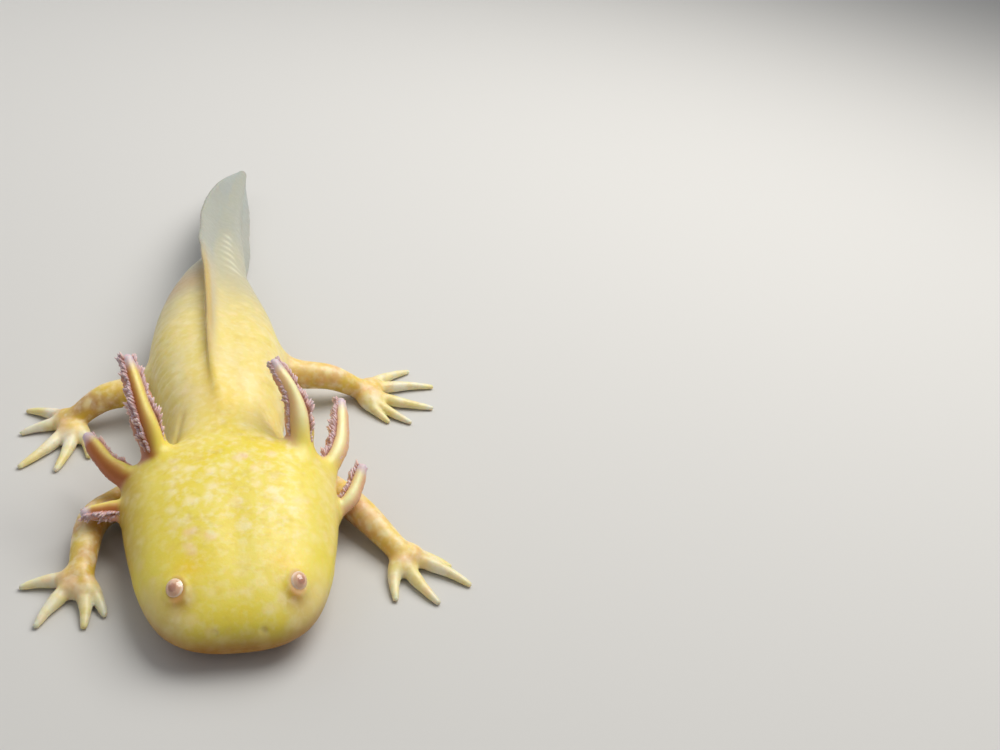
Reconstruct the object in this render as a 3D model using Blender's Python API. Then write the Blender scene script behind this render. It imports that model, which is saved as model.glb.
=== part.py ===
"""A life-size axolotl, lying still on its belly with its tail rolled over to its right.

Sizes are in millimetres until a mesh is made. +Z is up, the head faces -Y and the snout
is at y = 0 while the pieces are made. The last step slides everything along the floor, so
that the origin is under the middle of the whole animal.
"""

import math

import bmesh
import bpy
from mathutils import Vector

MM = 0.001
GAP = 0.3                 # left between pieces that meet

# Head: a blunt wedge, from the snout to its widest place
HEAD_WIDEST_Y = 37.0
HEAD_HALF_WIDTH = 22.9
HEAD_RISE = 12.2          # from the widest level up to the crown
HEAD_DROP = 9.5           # from the widest level down to the throat
SNOUT_TAPER = 1.2         # how early the head starts to narrow towards the snout
SNOUT_BLUNT_WIDTH = 4.35  # higher is blunter, seen from above
SNOUT_BLUNT_RISE = 2.6    # the same, for the forehead seen from the side
SNOUT_BLUNT_DROP = 3.8    # the same, for the chin
SNOUT_LEVEL = 6.6         # height of the widest level at the snout
CHEEK_LEVEL = 8.3         # and at the cheeks

# Body behind the cheeks: y, middle x, middle z, half width, rise, drop, roll in degrees.
# A roll leans the top edge towards -X.
BODY_STATIONS = (
    (37.0, 0.0, 8.3, 22.9, 12.2, 9.5, 0),
    (42.0, 0.0, 8.4, 22.3, 12.2, 9.3, 0),
    (46.0, 0.0, 8.5, 19.8, 12.0, 9.1, 0),
    (49.5, -0.1, 8.6, 15.8, 11.6, 9.0, 0),
    (53.0, -0.3, 8.7, 13.4, 11.3, 9.0, 1),
    (58.0, -0.6, 8.8, 13.1, 11.4, 9.1, 3),
    (74.0, -1.2, 9.3, 15.4, 12.9, 9.9, 4),
    (90.0, -1.8, 9.5, 16.7, 13.6, 10.3, 1),
    (106.0, -2.1, 9.3, 15.4, 12.8, 10.1, -1),
    (120.0, -2.2, 9.2, 12.8, 11.2, 9.8, -2),
    (132.0, -1.6, 9.4, 9.6, 9.4, 9.2, 2),
    (142.0, 0.6, 9.7, 6.9, 7.6, 7.6, 18),
    (153.0, 2.4, 9.8, 4.7, 5.6, 5.6, 32),
    (167.0, 3.2, 9.1, 3.6, 4.3, 4.3, 39),
    (182.0, 4.4, 8.3, 2.6, 3.3, 3.3, 41),
    (197.0, 6.0, 7.5, 1.8, 2.4, 2.4, 38),
    (221.0, 9.8, 6.6, 0.6, 0.7, 0.7, 33),
)
SECTION_POWER = 2.25      # 2 is an ellipse, more is squarer
NOSE_Y = 0.25             # the first ring, which a short cap closes
TAIL_END_Y = 221.0
BODY_SIDES = 28
# Rings along the body: up to this y, the first step and its growth for each 1 of y
RING_STEPS = ((16.0, 0.5, 0.24), (HEAD_WIDEST_Y, 4.6, 0.0), (56.0, 2.8, 0.0),
              (TAIL_END_Y, 7.0, 0.0))
LEAST_RING_STEP = 1.0

# Lengths of the body, from the snout back
BODY_LENGTHS = (
    ("head", NOSE_Y, 50.0),
    ("neck", 50.0, 60.0),
    ("trunk_front", 60.0, 89.0),
    ("trunk_rear", 89.0, 118.0),
    ("tail_base", 118.0, 147.0),
    ("tail_middle", 147.0, 184.0),
    ("tail_tip", 184.0, TAIL_END_Y),
)

# Mouth: the lower jaw's outline from the side, in y and z
MOUTH_FRONT_Z = 4.7
MOUTH_CORNER = (17.5, 6.3)
THROAT_Y = 29.0

# Eyes
EYE_RADIUS = 1.9
EYE_Y = 9.2
EYE_X = 11.6
EYE_SUNK = 0.95           # depth of the eye's middle below the skin

# Fins: height above the body's top or bottom edge at each y
# How far the dorsal fin flops towards -X for each 1 that it rises, by y. The tail leans anyway.
FIN_LEAN = (
    (65.0, 1.1), (84.0, 1.0), (96.0, 0.8), (110.0, 0.7), (124.0, 0.7), (136.0, 0.5),
    (150.0, 0.12), (165.0, 0.05), (185.0, 0.0),
)
DORSAL_FIN = (
    (65.0, 0.5), (76.0, 1.5), (92.0, 2.7), (108.0, 3.6), (122.0, 4.2), (135.0, 5.4),
    (150.0, 7.2), (168.0, 7.8), (182.0, 7.2), (194.0, 6.3), (204.0, 4.6), (213.0, 2.4),
    (220.6, 0.6),
)
VENTRAL_FIN = (
    (127.0, 0.5), (138.0, 1.6), (148.0, 3.6), (158.0, 5.2), (170.0, 6.2), (184.0, 6.2),
    (198.0, 5.4), (209.0, 3.8), (216.0, 2.2), (220.6, 0.6),
)
FIN_BASE_HALF = 1.1       # half thickness where it joins the body
FIN_EDGE_HALF = 0.4
FIN_THIN_FROM_Y = 190.0   # from here the fins' bases thin down towards the tip of the tail
FIN_TIP_SHARE = 0.5       # to this share of their thickness
# Half a fin's outline across its section: share of the half thickness, share of the height
FIN_MIDDLE = (0.62, 0.5)
FIN_SHOULDER = 0.9

# Limbs: joints from the body outwards, and half thickness at each
ARM_RIGHT = ((-9, 55, 8.5), (-22.0, 47.5, 4.4), (-28.8, 39.8, 4.6), (-30.4, 25.2, 3.6))
ARM_LEFT = ((9, 55, 8.5), (22.0, 48.0, 4.8), (28.8, 38.4, 4.6), (35.6, 27.6, 3.6))
ARM_RADII = (4.2, 3.5, 3.3, 2.6)
LEG_RIGHT = ((-9, 93, 8.5), (-19, 86.0, 7.6), (-28.4, 82.8, 7.2), (-35.4, 80.6, 3.8))
LEG_LEFT = ((9, 97, 8.5), (17.5, 92.0, 7.6), (26.7, 90.6, 7.2), (34.8, 91.4, 3.8))
LEG_RADII = (4.4, 3.8, 3.3, 2.6)
LIMB_SIDES = 10
LIMB_RINGS = 15           # steps along a limb, of which the upper part takes the first
UPPER_RINGS = 10

# Digit tips on the floor, from each limb's inner side outwards
FINGERS_RIGHT = ((-25.4, 16.2), (-29.0, 13.3), (-37.8, 14.4), (-41.5, 25.3))
FINGERS_LEFT = ((33.0, 15.0), (41.8, 13.3), (49.6, 18.1), (46.3, 24.1))
TOES_RIGHT = ((-31.6, 68.1), (-38.4, 63.5), (-46.2, 65.1), (-47.2, 77.9), (-46.6, 87.0))
TOES_LEFT = ((40.9, 79.4), (46.6, 78.7), (53.4, 84.9), (55.2, 94.9), (49.8, 102.5))
PALM_REACH = 0.34         # how far the palm goes towards the middle digit's tip
# Palm sections: share of that reach, height of the middle, half width, half height
PALM_SECTIONS = ((0.5, 1.9, 3.1, 1.9), (1.0, 1.3, 3.6, 1.5), (1.4, 1.1, 2.2, 0.9))
DIGIT_ROOT_SHARE = 0.06   # how far from the palm's middle to its tip a digit starts
DIGIT_HEIGHTS = (1.5, 1.2, 0.5)
DIGIT_RADII = (1.45, 1.15, 0.55)
DIGIT_FLATNESS = 0.9      # height over width
DIGIT_SIDES = 6

# Gills: root, bend and tip of each stalk, its half thickness at the root, and how far the
# filaments stand out from it on its two sides
GILLS = {
    "gill_front_right": (
        ((-15.0, 46.0, 15.5), (-18.3, 51.9, 25.0), (-21.6, 62.3, 31.5)), 2.9, (1.7, 1.9)),
    "gill_middle_right": (
        ((-18.5, 43.0, 11.5), (-25.2, 47.3, 14.0), (-30.1, 55.0, 16.0)), 2.9, (0.9, 1.4)),
    "gill_rear_right": (
        ((-18.5, 38.5, 8.0), (-25.2, 37.5, 9.8), (-29.8, 36.5, 10.0)), 2.7, (1.4, 0.8)),
    "gill_front_left": (
        ((15.2, 46.0, 15.5), (14.2, 53.5, 25.0), (9.8, 60.0, 31.5)), 2.9, (1.0, 1.7)),
    "gill_middle_left": (
        ((19.0, 42.5, 11.5), (24.2, 51.5, 14.5), (25.8, 63.6, 18.0)), 2.5, (1.5, 0.5)),
    "gill_rear_left": (
        ((19.8, 35.5, 7.5), (24.9, 37.0, 10.0), (28.6, 43.8, 13.5)), 2.1, (1.3, 0.5)),
}
GILL_TIP_HALF = 0.7
FRINGE_PITCH = 2.4
FRINGE_HALF = 0.35        # half thickness of the fringe
FRINGE_VALLEY = 0.35      # reach between two teeth, as a share
FRINGE_GROWTH = 2.2       # how soon it reaches its full width
FRINGE_TIP = (0.85, 0.6)  # from this share of the stalk on, it reaches this share
STALK_TAPER = 0.8

COLOURS = {
    "head_skin": ((0.86, 0.62, 0.16), 0.42),
    "body_skin": ((0.85, 0.68, 0.33), 0.42),
    "limb_skin": ((0.84, 0.56, 0.33), 0.45),
    "fin_skin": ((0.82, 0.78, 0.66), 0.38),
    "gill_skin": ((0.66, 0.33, 0.27), 0.5),
    "eye_ball": ((0.86, 0.52, 0.42), 0.12),
}


def curve_value(points, column, y):
    """A smooth curve through one column of a table, with no overshoot between its rows."""
    rows = list(points)
    if y <= rows[0][0]:
        return rows[0][column]
    if y >= rows[-1][0]:
        return rows[-1][column]
    index = next(i for i in range(len(rows) - 1) if y <= rows[i + 1][0])

    def slope(i):
        return (rows[i + 1][column] - rows[i][column]) / (rows[i + 1][0] - rows[i][0])

    def tangent(i):
        if i == 0 or i == len(rows) - 1:
            return slope(0 if i == 0 else i - 1)
        before, after = slope(i - 1), slope(i)
        if before * after <= 0:
            return 0.0
        return 2 * before * after / (before + after)

    start, end = rows[index], rows[index + 1]
    span = end[0] - start[0]
    t = (y - start[0]) / span
    near = (2 * t ** 3 - 3 * t ** 2 + 1) * start[column]
    far = (3 * t ** 2 - 2 * t ** 3) * end[column]
    bend = (t ** 3 - 2 * t ** 2 + t) * tangent(index) + (t ** 3 - t ** 2) * tangent(index + 1)
    return near + far + span * bend


def body_section(y):
    """Middle x, middle z, half width, rise, drop and roll of the body at one y."""
    if y >= HEAD_WIDEST_Y:
        values = [curve_value(BODY_STATIONS, column, y) for column in range(1, 7)]
        return values[:5] + [math.radians(values[5])]
    swell = 1 - (1 - y / HEAD_WIDEST_Y) ** SNOUT_TAPER
    level = SNOUT_LEVEL + (CHEEK_LEVEL - SNOUT_LEVEL) * math.sqrt(y / HEAD_WIDEST_Y)
    width = HEAD_HALF_WIDTH * swell ** (1 / SNOUT_BLUNT_WIDTH)
    rise = HEAD_RISE * swell ** (1 / SNOUT_BLUNT_RISE)
    drop = HEAD_DROP * swell ** (1 / SNOUT_BLUNT_DROP)
    return [0.0, level, width, rise, drop, 0.0]


def rounded(value, power):
    """A sine or cosine with its size raised to a power, for a superellipse."""
    return math.copysign(abs(value) ** (2 / power), value)


def body_ring(y, extra=0.0, floor=0.0):
    """Points round the body at one y, flat where they would pass through the floor."""
    middle_x, middle_z, width, rise, drop, roll = body_section(y)
    points = []
    for side in range(BODY_SIDES):
        angle = 2 * math.pi * (side + 0.5) / BODY_SIDES
        across = (width + extra) * rounded(math.cos(angle), SECTION_POWER)
        height = (rise if math.sin(angle) > 0 else drop) + extra
        up = height * rounded(math.sin(angle), SECTION_POWER)
        x = middle_x + across * math.cos(roll) - up * math.sin(roll)
        z = middle_z + across * math.sin(roll) + up * math.cos(roll)
        points.append(Vector((x, y, max(z, floor))))
    return points


def body_point(y, up, across=0.0):
    """A point measured along the body's own leaning height, from its middle."""
    middle_x, middle_z, _, _, _, roll = body_section(y)
    x = middle_x + across * math.cos(roll) - up * math.sin(roll)
    z = middle_z + across * math.sin(roll) + up * math.cos(roll)
    return Vector((x, y, z))


def loft(name, rings, material, start_point=None, hidden=False):
    """A closed mesh through rings that all have as many points, with flat or pointed ends."""
    mesh = bpy.data.meshes.new(name)
    build = bmesh.new()
    rows = [[build.verts.new(point * MM) for point in ring] for ring in rings]
    count = len(rows[0])
    for near, far in zip(rows, rows[1:]):
        for i in range(count):
            j = (i + 1) % count
            build.faces.new((near[i], near[j], far[j], far[i]))
    if start_point is None:
        build.faces.new(reversed(rows[0]))
    else:
        tip = build.verts.new(start_point * MM)
        for i in range(count):
            build.faces.new((rows[0][(i + 1) % count], rows[0][i], tip))
    build.faces.new(rows[-1])
    bmesh.ops.recalc_face_normals(build, faces=build.faces)
    build.to_mesh(mesh)
    build.free()
    return add_object(name, mesh, material, hidden)


def add_object(name, mesh, material, hidden=False):
    """Put a mesh in the scene, as a piece with a material or as a hidden cutter."""
    made = bpy.data.objects.new(name, mesh)
    bpy.context.collection.objects.link(made)
    if hidden:
        made.hide_render = True
        made.display_type = "WIRE"
    else:
        mesh.materials.clear()
        mesh.materials.append(MATERIALS[material])
        mesh.shade_smooth()
        mesh.set_sharp_from_angle(angle=math.radians(45))
    return made


def boolean(target, tool, operation):
    """Add a Boolean that the build evaluates."""
    modifier = target.modifiers.new(tool.name, "BOOLEAN")
    modifier.operation = operation
    modifier.object = tool
    modifier.solver = "EXACT"


def make_materials():
    """One Principled material for each kind of surface."""
    made = {}
    for name, (colour, roughness) in COLOURS.items():
        material = bpy.data.materials.new(name)
        material.use_nodes = True
        shader = material.node_tree.nodes["Principled BSDF"]
        shader.inputs["Base Color"].default_value = (*colour, 1.0)
        shader.inputs["Roughness"].default_value = roughness
        shader.inputs["Metallic"].default_value = 0.0
        made[name] = material
    return made


def body_rows(start, end):
    """Where rings go on a length of body: close at the snout, wider apart behind."""
    rows = [start]
    while rows[-1] < end:
        y = rows[-1]
        first, growth = next(step[1:] for step in RING_STEPS if y < step[0])
        rows.append(y + first + growth * y)
    rows[-1] = end
    if len(rows) > 2 and end - rows[-2] < LEAST_RING_STEP:
        del rows[-2]
    return rows


def fin_rows(start, end):
    """Rings for a fin, at the same places as the body's, so that the gap stays even."""
    places = {start, end}
    for _, first, last in BODY_LENGTHS:
        places.update(body_rows(first, last))
    return sorted(y for y in places if start <= y <= end)


def make_body():
    """The head, neck, trunk and tail as lengths of one body, parted by thin gaps."""
    made = {}
    for name, start, end in BODY_LENGTHS:
        first = start if start == NOSE_Y else start + GAP / 2
        last = end if end == TAIL_END_Y else end - GAP / 2
        _, nose_z, *_ = body_section(0.0)
        nose = Vector((0.0, 0.0, nose_z)) if start == NOSE_Y else None
        rings = [body_ring(y) for y in body_rows(first, last)]
        skin = "head_skin" if name == "head" else "body_skin"
        made[name] = loft(name, rings, skin, start_point=nose)
    rings = [body_ring(y, extra=GAP, floor=-1.0) for y in body_rows(NOSE_Y, TAIL_END_Y)]
    made["clearance"] = loft("body_clearance", rings, None, hidden=True)
    return made


def side_prism(name, outline, half_width):
    """A hidden cutter with one outline from the side, as wide as the head."""
    left = [Vector((-half_width, y, z)) for y, z in outline]
    right = [Vector((half_width, y, z)) for y, z in outline]
    return loft(name, [left, right], None, hidden=True)


def make_mouth(head):
    """Part the lower jaw from the head along the mouth line."""
    corner_y, corner_z = MOUTH_CORNER
    below = -5.0
    outline = (
        (-5.0, below), (-5.0, MOUTH_FRONT_Z - 0.4), (2.0, MOUTH_FRONT_Z),
        (corner_y, corner_z), (THROAT_Y, below),
    )
    jaw_cutter = side_prism("jaw_shape", outline, HEAD_HALF_WIDTH + 5)
    wider = (
        outline[0], (outline[1][0], outline[1][1] + GAP), (outline[2][0], outline[2][1] + GAP),
        (corner_y + GAP, corner_z + GAP), (THROAT_Y + 1.6 * GAP, below),
    )
    head_cutter = side_prism("jaw_clearance", wider, HEAD_HALF_WIDTH + 6)
    jaw = add_object("lower_jaw", head.data.copy(), "head_skin")
    boolean(jaw, jaw_cutter, "INTERSECT")
    boolean(head, head_cutter, "DIFFERENCE")
    return jaw


def skin_height(x, y):
    """Height of the upper skin above the floor, where the body doesn't lean."""
    middle_x, middle_z, width, rise, _, _ = body_section(y)
    across = abs(x - middle_x) / width
    return middle_z + rise * (1 - across ** SECTION_POWER) ** (1 / SECTION_POWER)


def ball(name, middle, radius, material, hidden=False):
    """A sphere."""
    mesh = bpy.data.meshes.new(name)
    build = bmesh.new()
    bmesh.ops.create_uvsphere(build, u_segments=16, v_segments=8, radius=radius * MM)
    bmesh.ops.translate(build, verts=build.verts, vec=middle * MM)
    build.to_mesh(mesh)
    build.free()
    return add_object(name, mesh, material, hidden)


def make_eyes(head):
    """Two round eyes in sockets, a third of each standing out."""
    for side, label in ((-1, "right"), (1, "left")):
        step = 0.5
        x = side * EYE_X
        skin = skin_height(x, EYE_Y)
        slope_x = (skin_height(x + step, EYE_Y) - skin_height(x - step, EYE_Y)) / (2 * step)
        slope_y = (skin_height(x, EYE_Y + step) - skin_height(x, EYE_Y - step)) / (2 * step)
        outward = Vector((-slope_x, -slope_y, 1)).normalized()
        middle = Vector((x, EYE_Y, skin)) - outward * EYE_SUNK
        ball("eye_" + label, middle, EYE_RADIUS, "eye_ball")
        socket = ball("socket_" + label, middle, EYE_RADIUS + GAP, None, hidden=True)
        boolean(head, socket, "DIFFERENCE")


def fin_ring(y, base, height, sign, thin):
    """A blade's section: thick at the body, thin and rounded at its free edge."""
    middle_across, middle_up = FIN_MIDDLE
    half = (
        (FIN_BASE_HALF * thin, 0.0), (middle_across * FIN_BASE_HALF, middle_up * height),
        (FIN_EDGE_HALF, FIN_SHOULDER * height),
    )
    profile = [(-across, up) for across, up in half] + [(0.0, height)]
    profile += reversed(half)
    lean = curve_value(FIN_LEAN, 1, y) if sign > 0 else 0.0
    points = [body_point(y, sign * (base + up), across - lean * up) for across, up in profile]
    return [Vector((p.x, p.y, max(p.z, 0.0))) for p in points]


def make_fin(name, table, sign):
    """A blade along the body's top edge (sign +1) or bottom edge (sign -1)."""
    rings = []
    for y in fin_rows(table[0][0], table[-1][0]):
        _, _, _, rise, drop, _ = body_section(y)
        base = (rise if sign > 0 else drop) + GAP
        past = max(y - FIN_THIN_FROM_Y, 0.0) / (TAIL_END_Y - FIN_THIN_FROM_Y)
        thin = 1.0 - (1 - FIN_TIP_SHARE) * past
        rings.append(fin_ring(y, base, curve_value(table, 1, y), sign, thin))
    return loft(name, rings, "fin_skin")


def path_points(points, count):
    """Evenly numbered points on a smooth Catmull-Rom curve, and its directions."""
    ends = [points[0] * 2 - points[1]] + list(points) + [points[-1] * 2 - points[-2]]
    samples = []
    for i in range(count + 1):
        place = min(i / count * (len(points) - 1), len(points) - 1 - 1e-6)
        span = int(place)
        t = place - span
        a, b, c, d = ends[span:span + 4]
        spot = 0.5 * ((2 * b) + (c - a) * t + (2 * a - 5 * b + 4 * c - d) * t ** 2
                      + (3 * b - a - 3 * c + d) * t ** 3)
        way = 0.5 * ((c - a) + (2 * a - 5 * b + 4 * c - d) * 2 * t
                     + (3 * b - a - 3 * c + d) * 3 * t ** 2)
        samples.append((spot, way.normalized(), place))
    return samples


def tube_ring(spot, way, wide, high, sides):
    """An ellipse square to a path, its wide axis level."""
    level = way.cross(Vector((0, 0, 1))).normalized()
    upright = level.cross(way).normalized()
    ring = []
    for side in range(sides):
        angle = 2 * math.pi * side / sides
        ring.append(spot + level * (wide * math.cos(angle)) + upright * (high * math.sin(angle)))
    return ring


def blend(values, place):
    """A value between the entries of a list, at a fractional place in it."""
    index = min(int(place), len(values) - 2)
    return values[index] + (values[index + 1] - values[index]) * (place - index)


def make_limb(names, joints, radii, tips, body, ground):
    """Upper and lower limb on one curve, then a hand or foot with its digits."""
    upper_name, lower_name, foot_name = names
    samples = path_points([Vector(joint) for joint in joints], LIMB_RINGS)
    upper = []
    lower = []
    for i, (spot, way, place) in enumerate(samples):
        radius = blend(radii, place)
        if i < UPPER_RINGS:
            upper.append(tube_ring(spot, way, radius, radius, LIMB_SIDES))
        elif i > UPPER_RINGS:
            lower.append(tube_ring(spot, way, radius, radius, LIMB_SIDES))
        else:
            half_gap = way * (GAP / 2)
            upper.append(tube_ring(spot - half_gap, way, radius, radius, LIMB_SIDES))
            lower.append(tube_ring(spot + half_gap, way, radius, radius, LIMB_SIDES))
    upper_piece = loft(upper_name, upper, "limb_skin")
    boolean(upper_piece, body["clearance"], "DIFFERENCE")
    loft(lower_name, lower, "limb_skin")
    make_foot(foot_name, samples[-1][0], samples[-1][1], radii[-1], tips, ground)


def make_foot(name, wrist, way, radius, tips, ground):
    """A flat palm with a digit for each tip, joined and flat on the floor."""
    start = wrist + way * GAP
    middle = sum((Vector((x, y, 0)) for x, y in tips), Vector()) / len(tips)
    reach = (middle - start) * PALM_REACH
    rings = [tube_ring(start, way, radius, radius, LIMB_SIDES)]
    spots = []
    for share, height, half_width, half_height in PALM_SECTIONS:
        spot = start + reach * share
        spot.z = height
        heading = (spot - (spots[-1] if spots else start)).normalized()
        rings.append(tube_ring(spot, heading, half_width, half_height, LIMB_SIDES))
        spots.append(spot)
    palm = loft(name, rings, "limb_skin")
    for number, (x, y) in enumerate(tips):
        tip = Vector((x, y, 0.0))
        path = []
        for share, height in zip((DIGIT_ROOT_SHARE, 0.5, 1.0), DIGIT_HEIGHTS):
            spot = spots[0] + (tip - spots[0]) * share
            spot.z = height
            path.append(spot)
        heading = (path[-1] - path[0]).normalized()
        rings = [tube_ring(spot, heading, size, DIGIT_FLATNESS * size, DIGIT_SIDES)
                 for spot, size in zip(path, DIGIT_RADII)]
        digit = loft("%s_digit_%d" % (name, number + 1), rings, None, hidden=True)
        boolean(palm, digit, "UNION")
    boolean(palm, ground, "DIFFERENCE")


def fringe_share(number, along):
    """How far one ring of a gill's fringe stands out: every second ring is a tooth."""
    tip_from, tip_share = FRINGE_TIP
    share = min(1.0, FRINGE_GROWTH * along)
    if number % 2 == 0:
        share *= FRINGE_VALLEY
    return share * (tip_share if along >= tip_from else 1.0)


def make_gill(name, points, root_half, reaches, body):
    """A tapered stalk with a serrated fringe of filaments along both sides."""
    points = [Vector(point) for point in points]
    length = sum((b - a).length for a, b in zip(points, points[1:]))
    rings = []
    for i, (spot, way, place) in enumerate(path_points(points, 2 * round(length / FRINGE_PITCH))):
        along = place / (len(points) - 1)
        stalk = root_half + (GILL_TIP_HALF - root_half) * along ** STALK_TAPER
        near, far = (stalk + reach * fringe_share(i, along) for reach in reaches)
        level = way.cross(Vector((0, 0, 1))).normalized()
        upright = level.cross(way).normalized()
        profile = (
            (far, -FRINGE_HALF), (far, FRINGE_HALF),
            (0.7 * stalk, 0.7 * stalk), (0, stalk), (-0.7 * stalk, 0.7 * stalk),
            (-near, FRINGE_HALF), (-near, -FRINGE_HALF),
            (-0.6 * stalk, -0.6 * stalk), (0, -0.8 * stalk), (0.6 * stalk, -0.6 * stalk),
        )
        rings.append([spot + level * across + upright * up for across, up in profile])
    piece = loft(name, rings, "gill_skin")
    boolean(piece, body["clearance"], "DIFFERENCE")


def make_ground():
    """A hidden block whose top is the floor, which flattens the feet."""
    low = [Vector((x, -60.0, z)) for x, z in ((-90, -20), (90, -20), (90, 0), (-90, 0))]
    high = [Vector((point.x, 300.0, point.z)) for point in low]
    return loft("ground_block", [low, high], None, hidden=True)


def centre_on_floor():
    """Slide everything so that the origin is under the middle of the animal's box."""
    bpy.context.view_layer.update()
    depsgraph = bpy.context.evaluated_depsgraph_get()
    corners = []
    for item in bpy.data.objects:
        if not item.hide_render:
            corners += [vertex.co for vertex in item.evaluated_get(depsgraph).data.vertices]
    middle_x = (min(c.x for c in corners) + max(c.x for c in corners)) / 2
    middle_y = (min(c.y for c in corners) + max(c.y for c in corners)) / 2
    for item in bpy.data.objects:
        item.location -= Vector((middle_x, middle_y, 0.0))


for leftover in list(bpy.data.objects):
    bpy.data.objects.remove(leftover)

MATERIALS = make_materials()
BODY = make_body()
GROUND = make_ground()
make_mouth(BODY["head"])
make_eyes(BODY["head"])
make_fin("dorsal_fin", DORSAL_FIN, 1)
make_fin("ventral_fin", VENTRAL_FIN, -1)
for side, joints, fingers in (("right", ARM_RIGHT, FINGERS_RIGHT), ("left", ARM_LEFT, FINGERS_LEFT)):
    labels = ("upper_arm_" + side, "forearm_" + side, "hand_" + side)
    make_limb(labels, joints, ARM_RADII, fingers, BODY, GROUND)
for side, joints, toes in (("right", LEG_RIGHT, TOES_RIGHT), ("left", LEG_LEFT, TOES_LEFT)):
    labels = ("thigh_" + side, "shank_" + side, "foot_" + side)
    make_limb(labels, joints, LEG_RADII, toes, BODY, GROUND)
for label, (stalk_points, thick, fringes) in GILLS.items():
    make_gill(label, stalk_points, thick, fringes, BODY)
centre_on_floor()
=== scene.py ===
"""A life-size golden axolotl lying still: one sculpted skin, gill filaments and eyes.

Shapes are worked out in millimetres with the snout at y = 0, the floor at z = 0 and the
animal's left towards +X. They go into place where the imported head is.
"""

import math

import bmesh
import bpy
import numpy as np
from mathutils import Matrix, Vector


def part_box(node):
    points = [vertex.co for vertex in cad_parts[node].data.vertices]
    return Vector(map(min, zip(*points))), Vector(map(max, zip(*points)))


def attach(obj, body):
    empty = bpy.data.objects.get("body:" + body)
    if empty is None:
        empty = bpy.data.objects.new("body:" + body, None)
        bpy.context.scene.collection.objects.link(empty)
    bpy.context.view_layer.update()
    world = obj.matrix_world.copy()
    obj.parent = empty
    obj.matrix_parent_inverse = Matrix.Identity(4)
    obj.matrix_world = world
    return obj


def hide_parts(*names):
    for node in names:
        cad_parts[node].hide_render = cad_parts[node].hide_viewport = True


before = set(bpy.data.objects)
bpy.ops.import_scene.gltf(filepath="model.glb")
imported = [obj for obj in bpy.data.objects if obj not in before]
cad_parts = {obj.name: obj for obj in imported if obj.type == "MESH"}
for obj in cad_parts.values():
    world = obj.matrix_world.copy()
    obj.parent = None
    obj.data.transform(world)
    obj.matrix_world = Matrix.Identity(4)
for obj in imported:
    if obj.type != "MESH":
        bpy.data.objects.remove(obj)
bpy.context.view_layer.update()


def srgb(*numbers):
    """A colour written as on a screen, 0 to 255, as linear numbers."""
    shares = np.array(numbers) / 255
    return np.where(shares < 0.04045, shares / 12.92, ((shares + 0.055) / 1.055) ** 2.4)


MM = 0.001
HEAD_LOW, HEAD_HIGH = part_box("head")
ORIGIN = np.array([(HEAD_LOW.x + HEAD_HIGH.x) / 2, HEAD_LOW.y, 0.0])

# Head: from the snout to its widest place
HEAD_WIDEST_Y = 37
HEAD_HALF_WIDTH = 22.9
HEAD_RISE = 12.2
HEAD_DROP = 9.5
SNOUT_TAPER = 1.2
SNOUT_BLUNT_WIDTH = 4.35
SNOUT_BLUNT_RISE = 2.6
SNOUT_BLUNT_DROP = 3.8
SNOUT_LEVEL = 6.6
CHEEK_LEVEL = 8.3

# Body behind the cheeks: y, middle x, middle z, half width, rise, drop, roll in degrees
BODY_STATIONS = np.array((
    (37, 0, 8.3, 22.9, 12.2, 9.5, 0),
    (42, 0, 8.4, 22.3, 12.2, 9.3, 0),
    (46, 0, 8.5, 19.8, 12, 9.1, 0),
    (49.5, -0.1, 8.6, 15.8, 11.6, 9, 0),
    (53, -0.3, 8.7, 13.4, 11.3, 9, 1),
    (58, -0.6, 8.8, 13.1, 11.4, 9.1, 3),
    (74, -1.2, 9.3, 15.4, 12.9, 9.9, 4),
    (90, -1.8, 9.5, 16.7, 13.6, 10.3, 1),
    (106, -2.1, 9.3, 15.4, 12.8, 10.1, -1),
    (120, -2.2, 9.2, 12.8, 11.2, 9.8, -2),
    (132, -1.6, 9.4, 9.6, 9.4, 9.2, 2),
    (142, 0.6, 9.7, 6.9, 7.6, 7.6, 18),
    (153, 2.4, 9.8, 4.7, 5.6, 5.6, 32),
    (167, 3.2, 9.1, 3.6, 4.3, 4.3, 39),
    (182, 4.4, 8.3, 2.6, 3.3, 3.3, 41),
    (197, 6, 7.5, 1.8, 2.4, 2.4, 38),
    (221, 9.8, 6.6, 0.6, 0.7, 0.7, 33),
))
SECTION_POWER = 2.25
TAIL_END_Y = 221

# Fins: height above the body's top or bottom edge at each y
DORSAL_FIN = np.array((
    (65, 0.5), (76, 1.5), (92, 2.7), (108, 3.6), (122, 4.2), (135, 5.4),
    (150, 7.2), (168, 7.8), (182, 7.2), (194, 6.3), (204, 4.6), (213, 2.7),
    (217.5, 1.6), (220.6, 0.6),
))
VENTRAL_FIN = np.array((
    (127, 0.5), (138, 1.6), (148, 3.6), (158, 5.2), (170, 6.2), (184, 6.2),
    (198, 5.4), (209, 3.8), (216, 2.3), (220.6, 0.6),
))
FIN_BASE_HALF = 1.1
FIN_EDGE_HALF = 0.52
FIN_TAPER = 0.7
FIN_FALL = 0.15           # how fast a fin sinks into the body ahead of its start
FIN_END_THINNING = 0.35
FIN_WAVE = 0.35           # how far the fins' free edges sway
FIN_WAVE_PITCH = 5.5
# How far the dorsal fin leans to the right, for each mm of its height, at each y
FIN_LEAN = np.array((
    (65, 1.1), (84, 1), (96, 0.8), (110, 0.7), (124, 0.7), (136, 0.5),
    (150, 0.12), (165, 0.05), (185, 0),
))

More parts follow.
